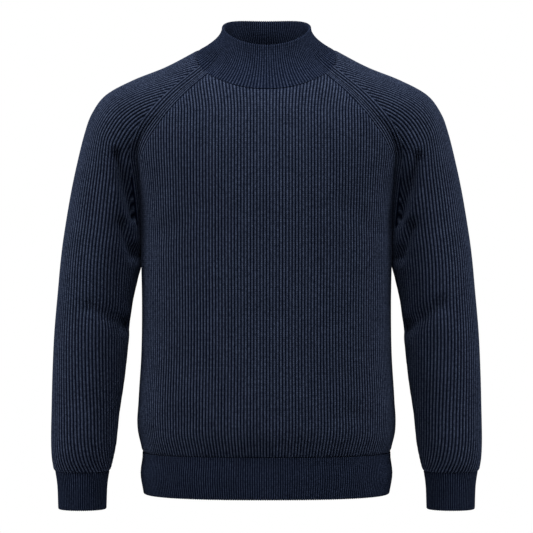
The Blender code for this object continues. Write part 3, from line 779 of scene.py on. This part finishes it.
STITCH_SLANT = 0.55  # of a stitch, from a rib's crest down to its valley
STITCH_DEPTH = 0.5  # of a stitch in the bump, as a share of the rib's
# painted shade: how much darker the gap between two stitches is than the stitch
STITCH_PAINTED_SHADE = 0.35
RIDGE_POWER = 1.7  # above 1 the light crest of a rib is narrower, and the painted valley shade wider
DASHES = (1.3, 0.75, 1.0)  # how fast the heather changes: across ribs, along them
DASH_LIGHT = (0.45, 1.35)
FIBRE_SCALE = 750.0
FIBRE_HEIGHT = 0.35
CLOUD_SCALE = 32.0
CLOUD_LIGHT = (0.90, 1.10)
FLECKS = (0.42, 0.70, 0.35)  # the noise from where to where, and the most that a fleck covers
BRIGHTEST = 1.15
BUMP_STRENGTH = 0.55
BUMP_HEIGHT = 0.0008
SHEEN_TINT = (0.55, 0.62, 0.80, 1)


def wool(name, valley, ridge, fleck):
    """Heather wool rib: each rib has a row of V stitches, light on its crest and dark between. The
    dark valley colour is painted shade in the hollows between ribs, and the darker gaps between
    stitches are painted shade too.
    """
    material = bpy.data.materials.new(name)
    nodes = Nodes(material)
    knit = nodes.add("ShaderNodeUVMap", uv_map="Knit").outputs["UV"]
    parts = nodes.add("ShaderNodeSeparateXYZ", {0: knit}).outputs
    crest = nodes.math("MULTIPLY", nodes.math("PINGPONG", parts["X"], 0.5), 2.0)
    leg = nodes.math("MULTIPLY", nodes.math("SUBTRACT", 1.0, crest), STITCH_SLANT)
    phase = nodes.math("MULTIPLY", nodes.math("SUBTRACT", parts["Y"], leg), 2 * np.pi)
    stitch = nodes.math("MULTIPLY_ADD", nodes.math("SINE", phase), 0.5, 0.5)
    rounded = nodes.math("POWER", crest, RIDGE_POWER)
    dashes = nodes.add("ShaderNodeMapping", {"Vector": knit, "Scale": DASHES}).outputs[0]
    dashes = nodes.noise(dashes, 1.0, 1.0)
    dashes = nodes.spread(dashes, (0.3, 0.7), DASH_LIGHT)

    coords = nodes.add("ShaderNodeTexCoord").outputs["Object"]
    fibre = nodes.noise(coords, FIBRE_SCALE, 2.0, 0.7)
    cloud = nodes.noise(coords, CLOUD_SCALE, 3.0, 0.6)
    sunk = nodes.math("MULTIPLY_ADD", stitch, STITCH_DEPTH, 1 - STITCH_DEPTH)
    height = nodes.math("MULTIPLY", rounded, sunk)
    height = nodes.math("MULTIPLY_ADD", fibre, FIBRE_HEIGHT, height)
    bump = nodes.add(
        "ShaderNodeBump", {"Strength": BUMP_STRENGTH, "Distance": BUMP_HEIGHT, "Height": height}
    )

    # The colour runs from the valley colour, painted shade in the hollows and between stitches, up to
    # the ridge colour on the crests.
    light = nodes.math("MULTIPLY_ADD", stitch, STITCH_PAINTED_SHADE, 1 - STITCH_PAINTED_SHADE)
    light = nodes.math("MULTIPLY", rounded, light)
    light = nodes.math("MINIMUM", nodes.math("MULTIPLY", light, dashes), BRIGHTEST)
    colour = nodes.mix(light, valley, ridge)
    speck = nodes.spread(fibre, FLECKS[:2], (0.0, FLECKS[2]))
    colour = nodes.mix(nodes.math("MULTIPLY", speck, rounded), colour, fleck)
    shade = nodes.spread(cloud, (0.3, 0.7), CLOUD_LIGHT)
    tinted = nodes.add("ShaderNodeVectorMath", {0: colour, 1: shade}, operation="MULTIPLY")
    tinted = tinted.outputs[0]
    nodes.tree.links.new(tinted, nodes.shader.inputs["Base Color"])
    nodes.tree.links.new(bump.outputs[0], nodes.shader.inputs["Normal"])
    nodes.shader.inputs["Roughness"].default_value = 0.9
    nodes.shader.inputs["Specular IOR Level"].default_value = 0.0
    nodes.shader.inputs["Sheen Weight"].default_value = 0.02
    nodes.shader.inputs["Sheen Roughness"].default_value = 0.5
    nodes.shader.inputs["Sheen Tint"].default_value = SHEEN_TINT
    return material


# The valley colours are painted shade: near black where the hollows between ribs lie in shadow.
RIB_KNIT = wool(
    "rib_knit",
    valley=(0.0012, 0.003, 0.011, 1),
    ridge=(0.056, 0.073, 0.122, 1),
    fleck=(0.100, 0.122, 0.190, 1),
)
FINE_RIB = wool(
    "fine_rib",
    valley=(0.0012, 0.003, 0.010, 1),
    ridge=(0.031, 0.042, 0.077, 1),
    fleck=(0.058, 0.072, 0.120, 1),
)

front = body_panel("front", -1, RIB_KNIT)
back = body_panel("back", 1, RIB_KNIT)
sleeve_right = sleeve("sleeve_right", -1, RIB_KNIT)
sleeve_left = sleeve("sleeve_left", 1, RIB_KNIT)
neck = collar(FINE_RIB)
hem = hem_band(FINE_RIB)
wrist_right = cuff("cuff_right", -1, FINE_RIB)
wrist_left = cuff("cuff_left", 1, FINE_RIB)


# The room, the light and the camera.

CAMERA_DISTANCE = 3.1
CAMERA_HEIGHT = -0.30
PHOTO_WIDTH = 533
METRES_PER_PIXEL = 0.0015
FLOOR = -1.42  # the neck of someone standing is this far above it
FLOOR_SIZE = 3
LIT_POINT = (0, 0, -0.25)  # what every lamp faces
WORLD_LIGHT = 0.03  # the white room lights the sweater this little, and shows white


def softbox(name, place, size, watts):
    light = bpy.data.lights.new(name, "AREA")
    light.shape = "SQUARE"
    light.size = size
    light.energy = watts
    lamp = bpy.data.objects.new(name, light)
    lamp.location = place
    towards = Vector(LIT_POINT) - Vector(place)
    lamp.rotation_euler = towards.to_track_quat("-Z", "Y").to_euler()
    bpy.context.scene.collection.objects.link(lamp)


def studio():
    bpy.ops.object.select_all(action="DESELECT")
    bpy.ops.mesh.primitive_plane_add(size=FLOOR_SIZE, location=(0, 0, FLOOR))
    ground = bpy.context.object
    ground.name = "floor"
    paper = bpy.data.materials.new("paper")
    Nodes(paper).shader.inputs["Base Color"].default_value = (0.7, 0.7, 0.7, 1)
    ground.data.materials.append(paper)
    softbox("front", (0, -1.4, 2.2), 1.0, 62)
    softbox("right", (-2.2, -0.65, 1.0), 1.0, 60)
    softbox("left", (2.2, -0.65, 1.0), 1.0, 52)
    softbox("rear", (0, 2.6, 1.4), 1.6, 70)
    world = bpy.data.worlds.new("white")
    bpy.context.scene.world = world
    world.use_nodes = True
    tree = world.node_tree
    shown = tree.nodes["Background"]
    shown.inputs["Strength"].default_value = 1.0
    shown.inputs["Color"].default_value = (1, 1, 1, 1)
    dim = tree.nodes.new("ShaderNodeBackground")
    dim.inputs["Strength"].default_value = WORLD_LIGHT
    path = tree.nodes.new("ShaderNodeLightPath")
    mix = tree.nodes.new("ShaderNodeMixShader")
    tree.links.new(path.outputs["Is Camera Ray"], mix.inputs[0])
    tree.links.new(dim.outputs[0], mix.inputs[1])
    tree.links.new(shown.outputs[0], mix.inputs[2])
    tree.links.new(mix.outputs[0], tree.nodes["World Output"].inputs[0])
    bpy.context.scene.view_settings.view_transform = "Standard"


def camera():
    lens = bpy.data.cameras.new("camera")
    lens.sensor_width = 36
    lens.lens = lens.sensor_width * CAMERA_DISTANCE / (PHOTO_WIDTH * METRES_PER_PIXEL)
    lens.clip_end = 50
    view = bpy.data.objects.new("camera", lens)
    view.location = (0, -CAMERA_DISTANCE, CAMERA_HEIGHT)
    view.rotation_euler = (np.pi / 2, 0, 0)
    bpy.context.scene.collection.objects.link(view)
    bpy.context.scene.camera = view


studio()
camera()
